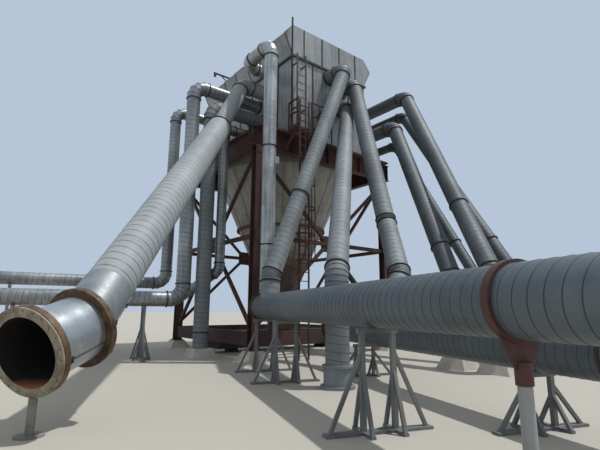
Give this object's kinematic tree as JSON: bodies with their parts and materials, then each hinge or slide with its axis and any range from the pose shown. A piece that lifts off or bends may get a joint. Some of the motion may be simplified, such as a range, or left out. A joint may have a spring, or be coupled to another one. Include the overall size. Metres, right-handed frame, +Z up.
{
  "type": "cyclone separator",
  "caption": "Dust separator house on a braced red-oxide steel frame with a conical hopper, a caged ladder and galvanised ducts bending down to two ground headers.",
  "frame": {"origin": "under the pedestal of the near column, at floor level", "axes": "+X along the ladder side, +Y along the left side, +Z up"},
  "size_m": [15.0405, 18.7107, 12.7409],
  "materials": {
    "concrete": "matte",
    "oxide_steel": "matte",
    "hopper_cladding": "satin",
    "rusty_flange": "matte",
    "black_steel": "matte",
    "housing_panels": "satin",
    "ladder_zinc": "satin",
    "duct_blue_zinc": "satin",
    "duct_bright_zinc": "satin",
    "saddle_steel": "satin",
    "stand_steel": "satin"
  },
  "bodies": {
    "root": {"pedestals": "concrete", "columns": "oxide_steel", "base_beams": "oxide_steel", "middle_ring": "oxide_steel", "ladder_side_bracing": "oxide_steel", "left_side_bracing": "oxide_steel", "rear_side_bracing": "oxide_steel", "right_side_bracing": "oxide_steel", "top_girders": "oxide_steel", "hopper_cone": "hopper_cladding", "hopper_joint": "rusty_flange", "rotary_valve": "rusty_flange", "discharge_trough": "black_steel", "housing_floor": "oxide_steel", "housing_body": "housing_panels", "housing_seams": "black_steel", "hood": "housing_panels", "roof_mast": "black_steel", "platform": "oxide_steel", "platform_railing": "oxide_steel", "lower_ladder": "oxide_steel", "upper_ladder": "ladder_zinc", "branch_one": "duct_blue_zinc", "branch_two": "duct_blue_zinc", "branch_three": "duct_blue_zinc", "branch_four": "duct_blue_zinc", "branch_five": "duct_blue_zinc", "branch_six": "duct_blue_zinc", "branch_seven": "duct_blue_zinc", "corner_riser": "duct_bright_zinc", "front_duct": "duct_bright_zinc", "open_spool": "duct_bright_zinc", "left_riser_one": "duct_bright_zinc", "left_riser_two": "duct_bright_zinc", "left_riser_three": "duct_blue_zinc", "left_riser_four": "duct_bright_zinc", "header_one": "duct_blue_zinc", "header_two": "duct_blue_zinc", "header_saddle": "saddle_steel", "header_stand": "stand_steel", "header_leg": "duct_blue_zinc", "header_stand_two": "stand_steel", "spool_stand": "stand_steel", "duct_feet": "concrete", "riser_stands": "stand_steel"}
  },
  "joints": []
}
